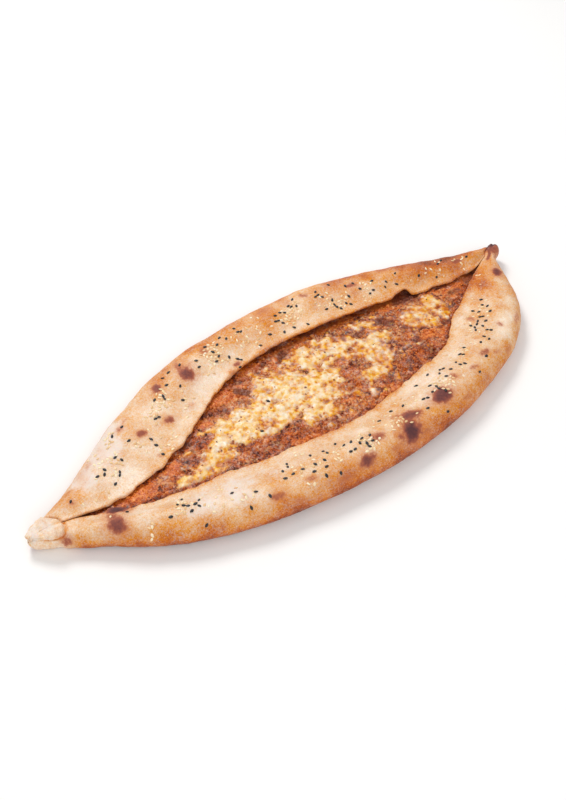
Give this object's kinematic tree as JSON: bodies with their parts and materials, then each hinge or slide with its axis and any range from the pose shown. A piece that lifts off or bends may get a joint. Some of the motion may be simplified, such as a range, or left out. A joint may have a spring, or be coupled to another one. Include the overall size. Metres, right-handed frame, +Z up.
{
  "type": "turkish pide",
  "caption": "Boat-shaped baked flatbread with folded-in sides pinched to points, open along the middle over minced meat and melted cheese.",
  "frame": {"origin": "middle of the outline, on the plane the pide rests on", "axes": "+X along the boat from its blunt end to its slender end, +Z up out of the open filling"},
  "size_m": [0.4214, 0.1676, 0.0227],
  "materials": {
    "bread": "baked bread crust, cream to golden brown, dull",
    "meat": "cooked minced meat, slightly oily",
    "cheese": "melted shredded cheese, soft shine",
    "dark_seed": "dark seed, black sesame or nigella, satin",
    "pale_seed": "pale toasted sesame seed, satin"
  },
  "bodies": {
    "root": {"dough": "bread", "filling": "meat", "cheese": "cheese"}
  },
  "joints": []
}
